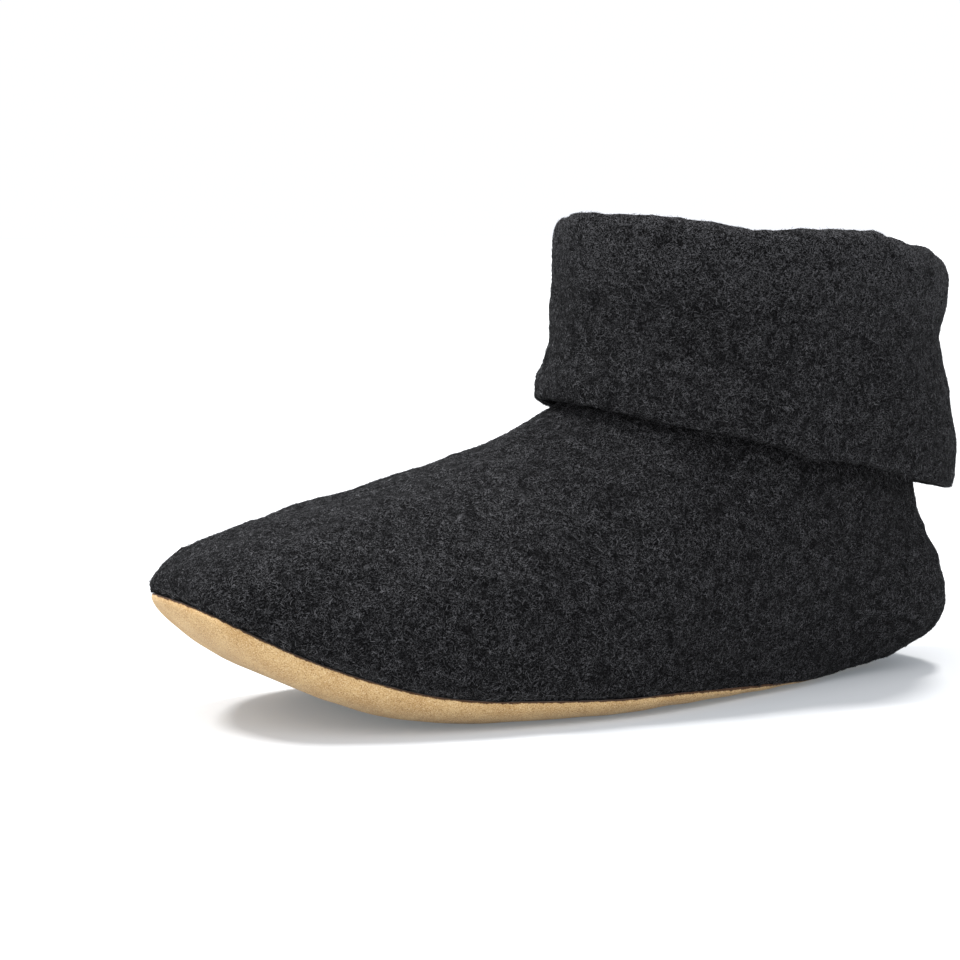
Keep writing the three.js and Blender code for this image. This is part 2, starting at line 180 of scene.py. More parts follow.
# Soft creases of the foot, each from one place to another on the wool. turn: degrees round the
# ankle; level: share of the way from the seam to the ankle; width and depth in millimetres,
# with a negative depth for a ridge.
FOOT_CREASES = [
    {"start": (4, 0.96), "end": (48, 0.9), "width": 5.0, "depth": 1.1},
    {"start": (350, 0.96), "end": (315, 0.9), "width": 5.0, "depth": 1.0},
    {"start": (12, 0.86), "end": (52, 0.78), "width": 6.0, "depth": -0.6},
    {"start": (70, 0.93), "end": (112, 0.86), "width": 6.0, "depth": 0.8},
    {"start": (34, 0.6), "end": (58, 0.42), "width": 9.0, "depth": 0.7},
    {"start": (100, 0.7), "end": (132, 0.5), "width": 10.0, "depth": 0.8},
    {"start": (140, 0.75), "end": (172, 0.62), "width": 8.0, "depth": 0.7},
    {"start": (300, 0.6), "end": (325, 0.42), "width": 9.0, "depth": 0.6},
    {"start": (225, 0.7), "end": (262, 0.5), "width": 10.0, "depth": 0.7},
]

# Share of its length, at each end, over which a crease keeps the depth that it ends with
CREASE_END = 0.08

# Lumps of each surface: size from one to the next, and height, each with a seed of its own
FELT_LUMPS = [
    {"size": 24, "height": 0.34},
    {"size": 9, "height": 0.2},
    {"size": 4.5, "height": 0.1},
]
SUEDE_LUMPS = {"size": 14, "height": 0.1}
BED_LUMPS = {"size": 12, "height": 0.25}
UPPER_SEED = 11
FRAY_SEED = 17
CUFF_SEED = 21
SUEDE_SEED = 31
BED_SEED = 41
WAVES = 28
WAVE_SPREAD = (0.75, 1.35)

# Stretches over which the lumps die out: below the upper's top edge, in millimetres, and above the
# end of the cuff's inner leg, in rows of its mesh
UPPER_CALM = 12.0
LEG_CALM_ROWS = 5

# Rows of the cuff's mesh from its crest, up to which the painted highlight along the crest is full,
# and where it ends
CREST_HIGHLIGHT_FULL = 8
CREST_HIGHLIGHT_END = 34

# Footbed. BED_RIM: its rounded rim, as depth below its top and inset; BED_STAND_OFF: how far it
# stands off the suede beyond the clearance; BED_SIDE: where its side starts, in degrees round the
# edge of the sole
BED_RIM = [(FOOTBED / 4, 0.0), (0.4, 0.5), (0.0, 1.6)]
BED_STAND_OFF = 0.8
BED_SIDE = 45

# Fineness of the meshes. Crowding: how the rows draw together towards the seam
COLUMNS = 416
FOOT_ROWS = 112
FOOT_CROWDING = 1.12
ROLL_ROWS = 12
SHAFT_ROWS = 14
INNER_ROWS = 26
EDGE_ROWS = 20
EDGE_CROWDING = 0.85
CUFF_ROWS = 84
CUFF_INNER_ROWS = 16
CROWN_ROWS = 18
HOLLOW_ROWS = 7
LEG_ROWS = 5
HEM_ROWS = 8
BED_ROWS = 30
BED_EDGE_ROWS = 8

# Points nearer than WELD are merged, and edges shorter than SLIVER are dissolved, in millimetres
WELD = 0.02
SLIVER = 0.005

# Loose fibres, in millimetres. Curl: share of the length to either side; rise: how far a fibre
# stands off; tip: share of the rise that its tip keeps; roll: turn about itself, in radians;
# root: how deep it starts in the wool; bend: limits of the wool's own curve that it follows;
# taper: shares of the width from root to tip; shade: above 1 for more dark than light ones
FIBRE_LENGTH = (0.9, 2.4)
FIBRE_WIDTH = (0.08, 0.17)
FIBRE_CURL = 0.5
FIBRE_RISE = (0.02, 0.4)
FIBRE_RISE_POWER = 1.5
FIBRE_RISE_SCALE = 1.5
FIBRE_MIDDLE_RISE = 0.7
FIBRE_TIP = (-0.1, 1.0)
FIBRE_TIP_CURL = -0.4
FIBRE_ROOT = 0.12
FIBRE_ROLL = 1.1
FIBRE_BEND = (-0.1, 0.4)
FIBRE_TAPER = (1.0, 0.9, 0.4)
FIBRE_SHADE = 2.4
FIBRE_COATS = {
    "upper_fibres": {"rows": slice(2, FOOT_ROWS), "count": 46000, "seed": 5, "slot": "wool"},
    "cuff_fibres": {"rows": slice(2, None), "count": 46000, "seed": 6, "slot": "wool_cuff"},
    "seam_fibres": {"rows": slice(1, 4), "count": 7000, "seed": 7, "slot": "wool"},
}

# Colours of wool, footbed and fibres, and of the suede, in linear light
WOOL_DARK = (0.002, 0.002, 0.0022, 1)
WOOL_LIGHT = (0.11, 0.11, 0.116, 1)
CUFF_LIGHT = (0.094, 0.094, 0.099, 1)
BED_DARK = (0.008, 0.008, 0.0085, 1)
BED_LIGHT = (0.05, 0.05, 0.052, 1)
FIBRE_DARK = (0.005, 0.005, 0.0054, 1)
FIBRE_LIGHT = (0.115, 0.115, 0.12, 1)
SHEEN_TINT = (0.5, 0.5, 0.52, 1)
SUEDE_DEEP = (0.43, 0.272, 0.116, 1)
SUEDE_PALE = (0.505, 0.34, 0.158, 1)
SUEDE_PORE = (0.19, 0.095, 0.035, 1)
SUEDE_FLECK = (0.66, 0.52, 0.33, 1)
# Dark line of the seam on the suede: partly its raw edge and stitching, partly painted shade of the groove
SEAM_EDGE_AND_SHADE = (0.045, 0.015, 0.005, 1)

# Grain of the felt, in millimetres. Its curled fibres are thin light lines in a stretched noise,
# warped twice, and turned two ways. Range: the values of a noise that become 0 and 1
CURL_GRAIN = 0.75
CURL_WARPS = [{"grain": 5.0, "amount": 2.0}, {"grain": 1.3, "amount": 0.6}]
CURL_TURNS = [(0, 12, 24), (40, 70, 95)]
CURL_STRETCH = 1.7
PIT_GRAIN = 0.42
PIT_RANGE = (0.42, 0.54)
PIT_LIGHT = 0.04
MOTTLE_GRAIN = 4.0
MOTTLE_RANGE = (0.34, 0.66)
MOTTLE_SPAN = 1.35
MOTTLE_LOW = 0.14
# Gain of the painted highlight along the cuff's crest
CREST_HIGHLIGHT_GAIN = 1.1
TUFT_HEIGHT = 0.8
MOTTLE_HEIGHT = 0.8
FELT_BUMP = 0.6

# Grain of the suede, in millimetres: nap with pores and flecks, brushed patches and the seam's
# ragged line
NAP_GRAIN = 0.4
NAP_BUMP = 0.2
PORE_RANGE = (0.46, 0.34)
FLECK_RANGE = (0.55, 0.68)
SPECKLE_STRENGTH = 0.9
PATCH_GRAIN = 7.0
PATCH_WARP = {"grain": 14.0, "amount": 4.0}
PATCH_RANGE = (0.35, 0.65)
RAGGED_GRAIN = 1.8
RAGGED_SHARE = 0.8
SEAM_RANGE = (0.88, 1.04)
SEAM_STRENGTH = 0.95

# Suns: direction towards the light, angle across in degrees, and strength
SUNS = {
    "overhead_toe": {"toward": (0.48, -0.3, 1), "softness": 11, "strength": 3.2},
    "overhead_heel": {"toward": (-0.36, -0.28, 1), "softness": 11, "strength": 3.0},
    "front_left": {"toward": (0.62, 0.5, 0.6), "softness": 60, "strength": 1.25},
}

# Side of the square floor
FLOOR_SIDE = 24000.0


def mix(low, high, share):
    return low + (high - low) * share


def soft_step(value, start, end):
    """Smooth step from 0 at the start to 1 at the end, on whichever side of the start it lies."""
    share = np.clip((value - start) / (end - start), 0, 1)
    return share * share * (3 - 2 * share)


def bell(distance, spread):
    return np.exp(-((distance / spread) ** 2))


def around(values, position):
    """Smooth closed curve through a list of numbers."""
    values = np.asarray(values, float)
    first = np.floor(position).astype(int)
    t = position - first
    a, b, c, d = (values[(first + step) % len(values)] for step in (-1, 0, 1, 2))
    bend = (2 * a - 5 * b + 4 * c - d) * t * t + (3 * b - a - 3 * c + d) * t * t * t
    return 0.5 * (2 * b + (c - a) * t + bend)


def smooth_curve(at, known, values):
    """Curve through values at uneven places, level at both ends."""
    known, values = np.asarray(known, float), np.asarray(values, float)
    slopes = np.gradient(values, known)
    slopes[0] = slopes[-1] = 0
    at = np.clip(at, known[0], known[-1])
    low = np.clip(np.searchsorted(known, at, side="right") - 1, 0, len(known) - 2)
    width = known[low + 1] - known[low]
    t = (at - known[low]) / width
    start = (1 + 2 * t) * (1 - t) ** 2 * values[low] + t * (1 - t) ** 2 * width * slopes[low]
    end = t * t * (3 - 2 * t) * values[low + 1] + t * t * (t - 1) * width * slopes[low + 1]
    return start + end


def underside(x):
    """Height of the underside above the floor."""
    share = (x - HEEL_BACK) / LENGTH
    toe = np.maximum(0, (share - TOE_SPRING_START) / (1 - TOE_SPRING_START))
    heel = np.maximum(0, (HEEL_RISE_END - share) / HEEL_RISE_END)
    waist = np.clip((share - ARCH_START) / (ARCH_END - ARCH_START), 0, 1)
    arch = ARCH_RISE * np.sin(np.pi * waist) ** 2
    return TOE_SPRING * toe**TOE_SPRING_CURVE + HEEL_RISE * heel**HEEL_RISE_CURVE + arch


def sloped_height(turn, front, back):
    """Height of a line that falls evenly from its front to its back."""
    return mix(back, front, (1 + np.cos(turn)) / 2)


def rim_height(turn):
    slump = RIM_SLUMP * np.maximum(0, -np.cos(turn)) ** RIM_SLUMP_SPREAD
    return sloped_height(turn, RIM_FRONT_HEIGHT, RIM_BACK_HEIGHT) - slump


def oval(turn, middle, length, width, height):
    """Oval line round the leg: its points and its outward directions."""
    cos, sin = np.cos(turn), np.sin(turn)
    points = np.stack([middle + length / 2 * cos, width / 2 * sin, height], -1)
    outward = np.stack([cos / length, sin / width, 0 * cos], -1)
    return points, unit(outward)


def unit(vectors):
    return vectors / np.maximum(np.linalg.norm(vectors, axis=-1, keepdims=True), 1e-9)


def scaled(directions, lengths):
    """Each direction times its own length."""
    return directions * np.asarray(lengths)[..., None]


def bezier(points, t):
    """Cubic curves, one for each column, at the shares t: columns by rows by 3."""
    t = t[None, :, None]
    a, b, c, d = (point[:, None, :] for point in points)
    return (1 - t) ** 3 * a + 3 * (1 - t) ** 2 * t * b + 3 * (1 - t) * t * t * c + t**3 * d


class Shoe:
    """What all pieces share at each column round the foot: ribs, seam, ankle line and shaft."""

    def __init__(self):
        position = np.arange(COLUMNS) * len(RIBS) / COLUMNS
        table = np.array(list(RIBS.values()), float)
        self.rib = {}
        for place, name in enumerate(RIB_COLUMNS):
            self.rib[name] = around(table[:, place], position)
        share = 360 / len(RIBS)
        uneven = table[:, RIB_COLUMNS.index("turn")] - np.arange(len(RIBS)) * share
        self.turn = np.radians(around(uneven, position) + position * share)
        self.under = np.radians(np.clip(self.rib["under"], 0, ROLL_LIMIT))
        self.rolled = soft_step(self.rib["under"], ROLL_START, ROLL_FULL)
        x = HEEL_BACK + self.rib["along"] * LENGTH
        self.wrap = mix(SUEDE + CLEARANCE, SOLE_WRAP, self.rib["wrap"])
        side = self.rib["side"] * BALL_WIDTH
        self.seam = np.stack([x, side, underside(x) + self.wrap], -1)
        ankle_height = sloped_height(self.turn, INSTEP_HEIGHT, HEEL_HEIGHT)
        self.ankle, self.ankle_out = oval(self.turn, 0, ANKLE_LENGTH, ANKLE_WIDTH, ankle_height)
        shaft_height = rim_height(self.turn) - FOLD_RISE - FOLD_LEG - CLEARANCE
        self.shaft, self.shaft_out = oval(
            self.turn, -SHAFT_LEAN, SHAFT_LENGTH, SHAFT_WIDTH, shaft_height
        )
        ahead = np.roll(self.seam, -1, 0) - np.roll(self.seam, 1, 0)
        self.outward = unit(np.stack([ahead[:, 1], -ahead[:, 0], 0 * ahead[:, 0]], -1))

    def sole_edge(self, angles, inset):
        """Face round the edge of the sole. angles: columns by rows, from 90 degrees under the
        foot to 0 at the seam; inset: how far the face lies inside the suede's outer face."""
        wrap = self.wrap[:, None]
        tuck = SOLE_TUCK * self.rib["tuck"][:, None]
        sideways = SOLE_SWELL * np.sin(2 * angles) - tuck * (1 - np.cos(angles))
        sideways = sideways - inset * np.cos(angles)
        upwards = wrap * (1 - np.sin(angles)) + inset * np.sin(angles)
        points = self.seam[:, None, :] + self.outward[:, None, :] * sideways[..., None]
        own = underside(points[..., 0]) + upwards
        seam_height = np.broadcast_to(self.seam[:, None, 2], own.shape)
        points[..., 2] = mix(own, seam_height, soft_step(angles, math.radians(SEAM_BLEND), 0))
        return points

    def foot(self, t):
        """Outer face of the foot, from the seam up to the ankle line."""
        start = self.seam + UP * CLEARANCE
        rise = start + scaled(self.outward, self.rib["bulge"] * BALL_WIDTH)
        rise = rise + UP * (self.rib["lift"] * INSTEP_HEIGHT)[:, None]
        return bezier([start, rise, self.ankle + self.slope(), self.ankle], t)

    def slope(self):
        """Pull of the foot at the ankle line."""
        out = scaled(self.ankle_out, self.rib["reach"] * LENGTH)
        return out - UP * (self.rib["drop"] * INSTEP_HEIGHT)[:, None]

    def leg(self, t):
        """Outer face of the shaft, from the ankle line up to its top edge."""
        neck = self.ankle - NECK * self.slope()
        below = mix(self.shaft, self.ankle, SHAFT_RISE)
        return bezier([self.ankle, neck, below, self.shaft], t)


shoe = Shoe()


def grid_normals(points):
    """Outward directions of a face given as columns by rows by 3, closed round the columns."""
    round_it = np.roll(points, -1, 0) - np.roll(points, 1, 0)
    along = np.gradient(points, axis=1)
    return unit(np.cross(round_it, along))


def lumps(points, seed, size, height):
    """Smooth bumps and hollows without direction; size: from one bump to the next."""
    rng = np.random.default_rng(seed)
    ways = unit(rng.normal(size=(WAVES, 3))) * rng.uniform(*WAVE_SPREAD, (WAVES, 1))
    phases = rng.uniform(0, 2 * np.pi, WAVES)
    total = np.zeros(points.shape[:-1])
    for way, phase in zip(ways, phases):
        total += np.cos(points @ way * (2 * np.pi / size) + phase)
    return height * (total / math.sqrt(WAVES))


def felt_relief(points, seed):
    """Uneven thickness of the felt, in millimetres."""
    total = np.zeros(points.shape[:-1])
    for step, row in enumerate(FELT_LUMPS):
        total += lumps(points, seed + step, **row)
    return total


def crease_depth(points, surface, turns, creases):
    """How far the creases press the wool in, at each point."""
    def place(spot):
        degrees, level = spot
        gap = np.abs((turns - math.radians(degrees) + np.pi) % (2 * np.pi) - np.pi)
        column = surface[int(np.argmin(gap))]
        return column[int(round(level * (len(column) - 1)))]

    total = np.zeros(points.shape[:-1])
    for crease in creases:
        start, end = place(crease["start"]), place(crease["end"])
        line = end - start
        share = np.clip((points - start) @ line / (line @ line), 0, 1)
        away = np.linalg.norm(points - start - share[..., None] * line, axis=-1)
        fade = np.sqrt(np.sin(np.pi * np.clip(share, CREASE_END, 1 - CREASE_END)))
        total += crease["depth"] * fade * bell(away, crease["width"])
    return total


def grid_faces(columns, rows, first=0, closed_columns=True, closed_rows=False):
    """Quads of a grid of points, as an array of corner numbers."""
    column = np.arange(columns if closed_columns else columns - 1)[:, None]
    row = np.arange(rows if closed_rows else rows - 1)[None, :]
    ahead = (column + 1) % columns
    above = (row + 1) % rows
    corners = [column * rows + row, ahead * rows + row, ahead * rows + above, column * rows + above]
    return np.stack(corners, -1).reshape(-1, 4) + first


def make_mesh(name, points, faces, material, attributes=None):
    """A smooth mesh object from points in millimetres and faces of four corners."""
    mesh = bpy.data.meshes.new(name)
    points = np.asarray(points, float).reshape(-1, 3) * MM
    mesh.vertices.add(len(points))
    mesh.vertices.foreach_set("co", points.ravel())
    mesh.loops.add(faces.size)
    mesh.loops.foreach_set("vertex_index", faces.ravel())
    mesh.polygons.add(len(faces))
    mesh.polygons.foreach_set("loop_start", np.arange(len(faces)) * faces.shape[1])
    mesh.update(calc_edges=True)
    mesh.polygons.foreach_set("use_smooth", np.ones(len(faces), bool))
    for label, values in (attributes or {}).items():
        attribute = mesh.attributes.new(label, "FLOAT", "POINT")
        attribute.data.foreach_set("value", np.asarray(values, np.float32).ravel())
    mesh.validate()
    mesh.materials.append(material)
    made = bpy.data.objects.new(name, mesh)
    bpy.context.scene.collection.objects.link(made)
    return made


def across(ring, rows, lift, edge=0.125):
    """Grid that closes a ring of points across the foot. It stands off the underside by the lift,
    and takes on the ring's own heights over an edge, in shares of the width."""
    half = COLUMNS // 2
    outer = ring[: half + 1]
    inner = ring[(COLUMNS - np.arange(half + 1)) % COLUMNS]
    share = np.linspace(0, 1, rows)[None, :, None]
    points = mix(outer[:, None, :], inner[:, None, :], share)
    own = underside(points[..., 0]) + lift
    rim = mix(outer[:, None, 2], inner[:, None, 2], share[..., 0])
    inside = np.minimum(1, np.minimum(share, 1 - share) / edge)[..., 0]
    points[..., 2] = mix(rim, own, inside)
    return points


class Nodes:
    """Short calls for the nodes of one material. Grains are given in millimetres."""

    def __init__(self, name):
        self.material = bpy.data.materials.new(name)
        self.material.use_nodes = True
        self.tree = self.material.node_tree
        self.shader = self.tree.nodes["Principled BSDF"]

    def add(self, kind, **settings):
        node = self.tree.nodes.new(kind)
        for name, value in settings.items():
            setattr(node, name, value)
        return node

    def feed(self, socket, value):
        if isinstance(value, bpy.types.NodeSocket):
            self.tree.links.new(value, socket)
        else:
            socket.default_value = value

    def math(self, operation, first, second=0.0, clamp=False):
        node = self.add("ShaderNodeMath", operation=operation, use_clamp=clamp)
        self.feed(node.inputs[0], first)
        self.feed(node.inputs[1], second)
        return node.outputs[0]

    def sloped(self, value, slope, start):
        """The value times the slope, plus the start."""
        return self.math("ADD", self.math("MULTIPLY", value, slope), start)

    def vector_math(self, operation, first, second):
        node = self.add("ShaderNodeVectorMath", operation=operation)
        self.feed(node.inputs[0], first)
        self.feed(node.inputs[1], second)
        return node.outputs[0]

    def object_place(self):
        return self.add("ShaderNodeTexCoord").outputs["Object"]

    def attribute(self, name):
        return self.add("ShaderNodeAttribute", attribute_name=name).outputs["Fac"]

    def noise(self, place, grain, detail=2.0, roughness=0.5, colour=False):
        node = self.add("ShaderNodeTexNoise")
        self.feed(node.inputs["Vector"], place)
        node.inputs["Scale"].default_value = 1 / (grain * MM)
        node.inputs["Detail"].default_value = detail
        node.inputs["Roughness"].default_value = roughness
        return node.outputs[1 if colour else 0]

    def warped(self, place, grain, amount):
        """Places moved about by a soft noise, by up to the amount in millimetres."""
        swirl = self.vector_math("SUBTRACT", self.noise(place, grain, colour=True), (0.5, 0.5, 0.5))
        scale = (2 * amount * MM,) * 3
        return self.vector_math("ADD", place, self.vector_math("MULTIPLY", swirl, scale))

    def spread(self, value, low, high):
        """Stretches low to high over 0 to 1, and clips."""
        node = self.add("ShaderNodeMapRange", clamp=True)
        self.feed(node.inputs["Value"], value)
        node.inputs["From Min"].default_value = low
        node.inputs["From Max"].default_value = high
        return node.outputs[0]

    def blend(self, factor, first, second):
        """Colours mixed by a factor."""
        node = self.add("ShaderNodeMix", data_type="RGBA")
        self.feed(node.inputs[0], factor)
        self.feed(node.inputs[6], first)
        self.feed(node.inputs[7], second)
        return node.outputs[2]

    def ridge(self, value, sharpness):
        """Thin light lines where the value passes its middle."""
        away = self.math("ABSOLUTE", self.math("SUBTRACT", value, 0.5))
        return self.math("SUBTRACT", 1.0, self.math("MULTIPLY", away, sharpness), clamp=True)

    def stretched(self, place, turns, stretch):
        """Places turned, then squeezed along one axis, for streaks."""
        node = self.add("ShaderNodeMapping")
        self.feed(node.inputs["Vector"], place)
        node.inputs["Rotation"].default_value = [math.radians(turn) for turn in turns]
        node.inputs["Scale"].default_value = (1 / stretch, 1, 1)
        return node.outputs[0]

    def bump(self, height, distance):
        node = self.add("ShaderNodeBump")
        self.feed(node.inputs["Height"], height)
        node.inputs["Distance"].default_value = distance * MM
        self.feed(self.shader.inputs["Normal"], node.outputs[0])

    def shade(self, inputs):
        """Sets inputs of the shader, each by its name."""
        for name, value in inputs.items():
            self.feed(self.shader.inputs[name], value)


def wool_material(name, dark, light, fineness, sheen):
    """Heathered felt: dark wool with lighter curled fibres, pits between them and soft mottles."""
    nodes = Nodes(name)
    place = nodes.object_place()
    curled = place
    for warp in CURL_WARPS:
        curled = nodes.warped(curled, **warp)
    worms = 0.0
    for turns in CURL_TURNS:
        streaks = nodes.stretched(curled, turns, CURL_STRETCH)
        grain = nodes.noise(streaks, CURL_GRAIN, detail=1.0, roughness=0.6)
        worms = nodes.math("MAXIMUM", worms, nodes.ridge(grain, fineness))
    pits = nodes.spread(nodes.noise(place, PIT_GRAIN, detail=1.0, roughness=0.8), *PIT_RANGE)
    mottle = nodes.noise(place, MOTTLE_GRAIN, detail=2.5, roughness=0.95)
    mottle = nodes.spread(mottle, *MOTTLE_RANGE)
    tufts = nodes.math("MULTIPLY", worms, nodes.sloped(pits, 1 - PIT_LIGHT, PIT_LIGHT))
    fade = nodes.sloped(mottle, MOTTLE_SPAN, MOTTLE_LOW)
    # Painted highlight: the wool is made lighter along the cuff's crest
    fade = nodes.math("MULTIPLY", fade, nodes.sloped(nodes.attribute("crest_highlight"), CREST_HIGHLIGHT_GAIN, 1.0))
    amount = nodes.math("MULTIPLY", tufts, fade, clamp=True)
    rise = nodes.math("MULTIPLY", mottle, MOTTLE_HEIGHT)
    nodes.bump(nodes.sloped(tufts, TUFT_HEIGHT, rise), FELT_BUMP)
    nodes.shade({
        "Base Color": nodes.blend(amount, dark, light),
        "Roughness": 1.0,
        "Specular IOR Level": 0.05,
        "Sheen Weight": sheen,
        "Sheen Roughness": 0.5,
        "Sheen Tint": SHEEN_TINT,
    })
    return nodes.material


def fibre_material(name, dark, light):
    """Loose fibres, each with a shade of its own."""
    nodes = Nodes(name)
    nodes.shade({
        "Base Color": nodes.blend(nodes.attribute("shade"), dark, light),
        "Roughness": 0.9,
        "Specular IOR Level": 0.1,
    })
    return nodes.material


def suede_material(name):
    """Tan suede: fine speckled nap, brushed patches, and a dark line along the seam, partly its raw
    edge and stitching, partly painted shade of the groove.
    """
    nodes = Nodes(name)
    place = nodes.object_place()
    grain = nodes.noise(place, NAP_GRAIN, detail=2.0, roughness=0.8)
    patch = nodes.noise(nodes.warped(place, **PATCH_WARP), PATCH_GRAIN, detail=2.0)
    colour = nodes.blend(nodes.spread(patch, *PATCH_RANGE), SUEDE_DEEP, SUEDE_PALE)
    for reach, speck in ((PORE_RANGE, SUEDE_PORE), (FLECK_RANGE, SUEDE_FLECK)):
        amount = nodes.math("MULTIPLY", nodes.spread(grain, *reach), SPECKLE_STRENGTH)
        colour = nodes.blend(amount, colour, speck)
    # Dark line along the seam: partly raw edge and stitching, partly painted shade of the groove
    ragged = nodes.noise(place, RAGGED_GRAIN, detail=2.0, roughness=0.7)
    seam_line_and_shade = nodes.sloped(ragged, RAGGED_SHARE, nodes.attribute("seam"))
    seam = nodes.math("MULTIPLY", nodes.spread(seam_line_and_shade, *SEAM_RANGE), SEAM_STRENGTH)
    nodes.bump(grain, NAP_BUMP)
    nodes.shade({
        "Base Color": nodes.blend(seam, colour, SEAM_EDGE_AND_SHADE),
        "Roughness": 0.95,
        "Specular IOR Level": 0.12,
        "Sheen Weight": 0.12,
        "Sheen Roughness": 0.5,
    })
    return nodes.material


wool_look = wool_material("felted_wool", WOOL_DARK, WOOL_LIGHT, fineness=17.0, sheen=0.01)
cuff_look = wool_material("cuff_wool", WOOL_DARK, CUFF_LIGHT, fineness=15.5, sheen=0.01)
footbed_look = wool_material("footbed_felt", BED_DARK, BED_LIGHT, fineness=9.0, sheen=0.03)
fibre_look = fibre_material("loose_fibres", FIBRE_DARK, FIBRE_LIGHT)
suede_look = suede_material("tan_suede")


def seam_groove(distance, depth, width):
    """How far a face rounds in towards the seam, at a distance from it along the face. The seam
    lies almost flush where the wool rolls in under the heel."""
    share = 1 - ROLL_FLUSH * shoe.rolled[:, None]
    return share * (depth * np.exp(-((distance / width) ** GROOVE_POWER)))


def along_rows(points):
    """Distance from the first row, along each column."""
    steps = np.linalg.norm(np.diff(points, axis=1), axis=-1)
    return np.concatenate([np.zeros((len(points), 1)), np.cumsum(steps, 1)], 1)


def tray():
    """Suede tray: its rounded edge outside and inside, its underside, its top, and how much of the
    seam's dark line each point of the edge takes: by its nearness to the seam on the outer face,
    and in full on the inner face, where it is painted shade."""
    share = np.linspace(0, 1, EDGE_ROWS)[None, :]
    angles = mix(math.pi / 2, shoe.under[:, None], share**EDGE_CROWDING)
    outer = shoe.sole_edge(angles, 0)
    inner = shoe.sole_edge(angles, SUEDE)
    to_seam = along_rows(outer[:, ::-1])[:, ::-1]
    normals = grid_normals(outer)
    outer = outer - scaled(normals, seam_groove(to_seam, **SUEDE_GROOVE))
    outer = outer + scaled(normals, lumps(outer, SUEDE_SEED, **SUEDE_LUMPS))
    walls = np.concatenate([outer, inner[:, ::-1]], 1)
    bottom = across(outer[:, 0], BED_ROWS, 0)
    top = across(inner[:, 0], BED_ROWS, SUEDE)
    seam_line_and_shade = np.clip(1 - to_seam / SEAM_REACH, 0, 1)
    # Inner face of the tray takes the full dark colour: painted shade in the gap under the wool
    dark = np.concatenate([seam_line_and_shade, np.ones_like(seam_line_and_shade)], 1)
    return walls, bottom, top, dark


def joined(grids):
    """Several grids in one list of points and faces. Each comes with whether it is closed round
    its columns, and whether it faces the other way."""
    points, faces, first = [], [], 0
    for grid, closed, flip in grids:
        columns, rows = grid.shape[:2]
        quads = grid_faces(columns, rows, first, closed_columns=closed)
        points.append(grid.reshape(-1, 3))
        faces.append(quads[:, ::-1] if flip else quads)
        first += columns * rows
    return np.concatenate(points), np.concatenate(faces)


def welded(piece):
    """Merges the points where grids of one piece meet, and drops faces without area."""
    shape = bmesh.new()
    shape.from_mesh(piece.data)
    bmesh.ops.remove_doubles(shape, verts=shape.verts, dist=WELD * MM)
    bmesh.ops.dissolve_degenerate(shape, edges=shape.edges, dist=SLIVER * MM)
    bmesh.ops.recalc_face_normals(shape, faces=shape.faces)
    shape.to_mesh(piece.data)
    shape.free()
    piece.data.polygons.foreach_set("use_smooth", np.ones(len(piece.data.polygons), bool))
    return piece


def make_outsole():
    walls, bottom, top, dark = tray()
    points, faces = joined([(walls, True, False), (bottom, False, True), (top, False, False)])
    rest = len(points) - dark.size
    seam = np.concatenate([dark.ravel(), np.zeros(rest)])
    piece = welded(make_mesh("suede_sole", points, faces, suede_look, {"seam": seam}))
    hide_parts("outsole")
    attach(piece, "root")


def resampled(points, shares):
    """The same lines with points at the given shares of their lengths."""
    lengths = along_rows(points)
    spots = lengths[:, -1:] * shares
    made = np.empty((len(points), shares.shape[-1], 3))
    for column, (line, known, wanted) in enumerate(zip(points, lengths, spots)):
        for axis in range(3):
            made[column, :, axis] = np.interp(wanted, known, line[:, axis])
    return made


def eased(points, amount, passes=40, low_row=16, high_row=40):
    """Rounds off the lines in their first rows, by an amount for each column."""
    smooth = points.copy()
    for _ in range(passes):
        smooth[:, 1:-1] = (smooth[:, :-2] + 2 * smooth[:, 1:-1] + smooth[:, 2:]) / 4
    rows = soft_step(np.arange(points.shape[1]), high_row, low_row)
    return mix(points, smooth, (amount[:, None] * rows)[..., None])


def upper_face():
    """Outer face of the wool, from the seam, round the heel's edge, up to the shaft's top edge."""
    roll = shoe.under[:, None] * np.linspace(1, 0, ROLL_ROWS)[None, :-1]
    foot = shoe.foot(np.linspace(0, 1, 3 * FOOT_ROWS))
    shares = np.linspace(0, 1, FOOT_ROWS)[None, :] ** FOOT_CROWDING
    low = resampled(np.concatenate([shoe.sole_edge(roll, 0), foot], 1), shares)
    low = eased(low, shoe.rolled)
    leg = shoe.leg(np.linspace(0, 1, SHAFT_ROWS))
    return np.concatenate([low, leg[:, 1:]], 1)


def make_upper():
    plain = upper_face()
    normals = grid_normals(plain)
    distance = along_rows(plain)
    relief = felt_relief(plain, UPPER_SEED)
    relief = relief * mix(SEAM_LUMPS, 1, soft_step(distance, 0, SEAM_CALM))
    crease = crease_depth(plain, plain, shoe.turn, FOOT_CREASES)
    frayed = lumps(plain, FRAY_SEED, **FRAY) * np.exp(-distance / FRAY_REACH)
    frayed = frayed * (1 - ROLL_FLUSH * shoe.rolled[:, None])
    move = relief - crease - seam_groove(distance, **WOOL_GROOVE) + frayed
    free = soft_step(distance[:, -1:] - distance, 0, UPPER_CALM)
    outer = plain + scaled(normals, move * free)
    inner_rows = np.linspace(0, plain.shape[1] - 1, INNER_ROWS).round().astype(int)
    inner = (plain - normals * WOOL)[:, inner_rows]
    ring = np.concatenate([outer, inner[:, ::-1]], 1)
    faces = grid_faces(*ring.shape[:2], closed_rows=True)
    piece = make_mesh("wool_upper", ring, faces, wool_look)
    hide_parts("upper")
    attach(piece, "root")
    return outer


def fold_sum(name):
    """Sum of one column of the cuff's folds, at each turn."""
    total = np.zeros(COLUMNS)
    for fold in CUFF_FOLDS:
        gap = (np.degrees(shoe.turn) - fold["turn"] + 180) % 360 - 180
        total += WOOL * fold[name] * bell(gap, fold["spread"])
    return total


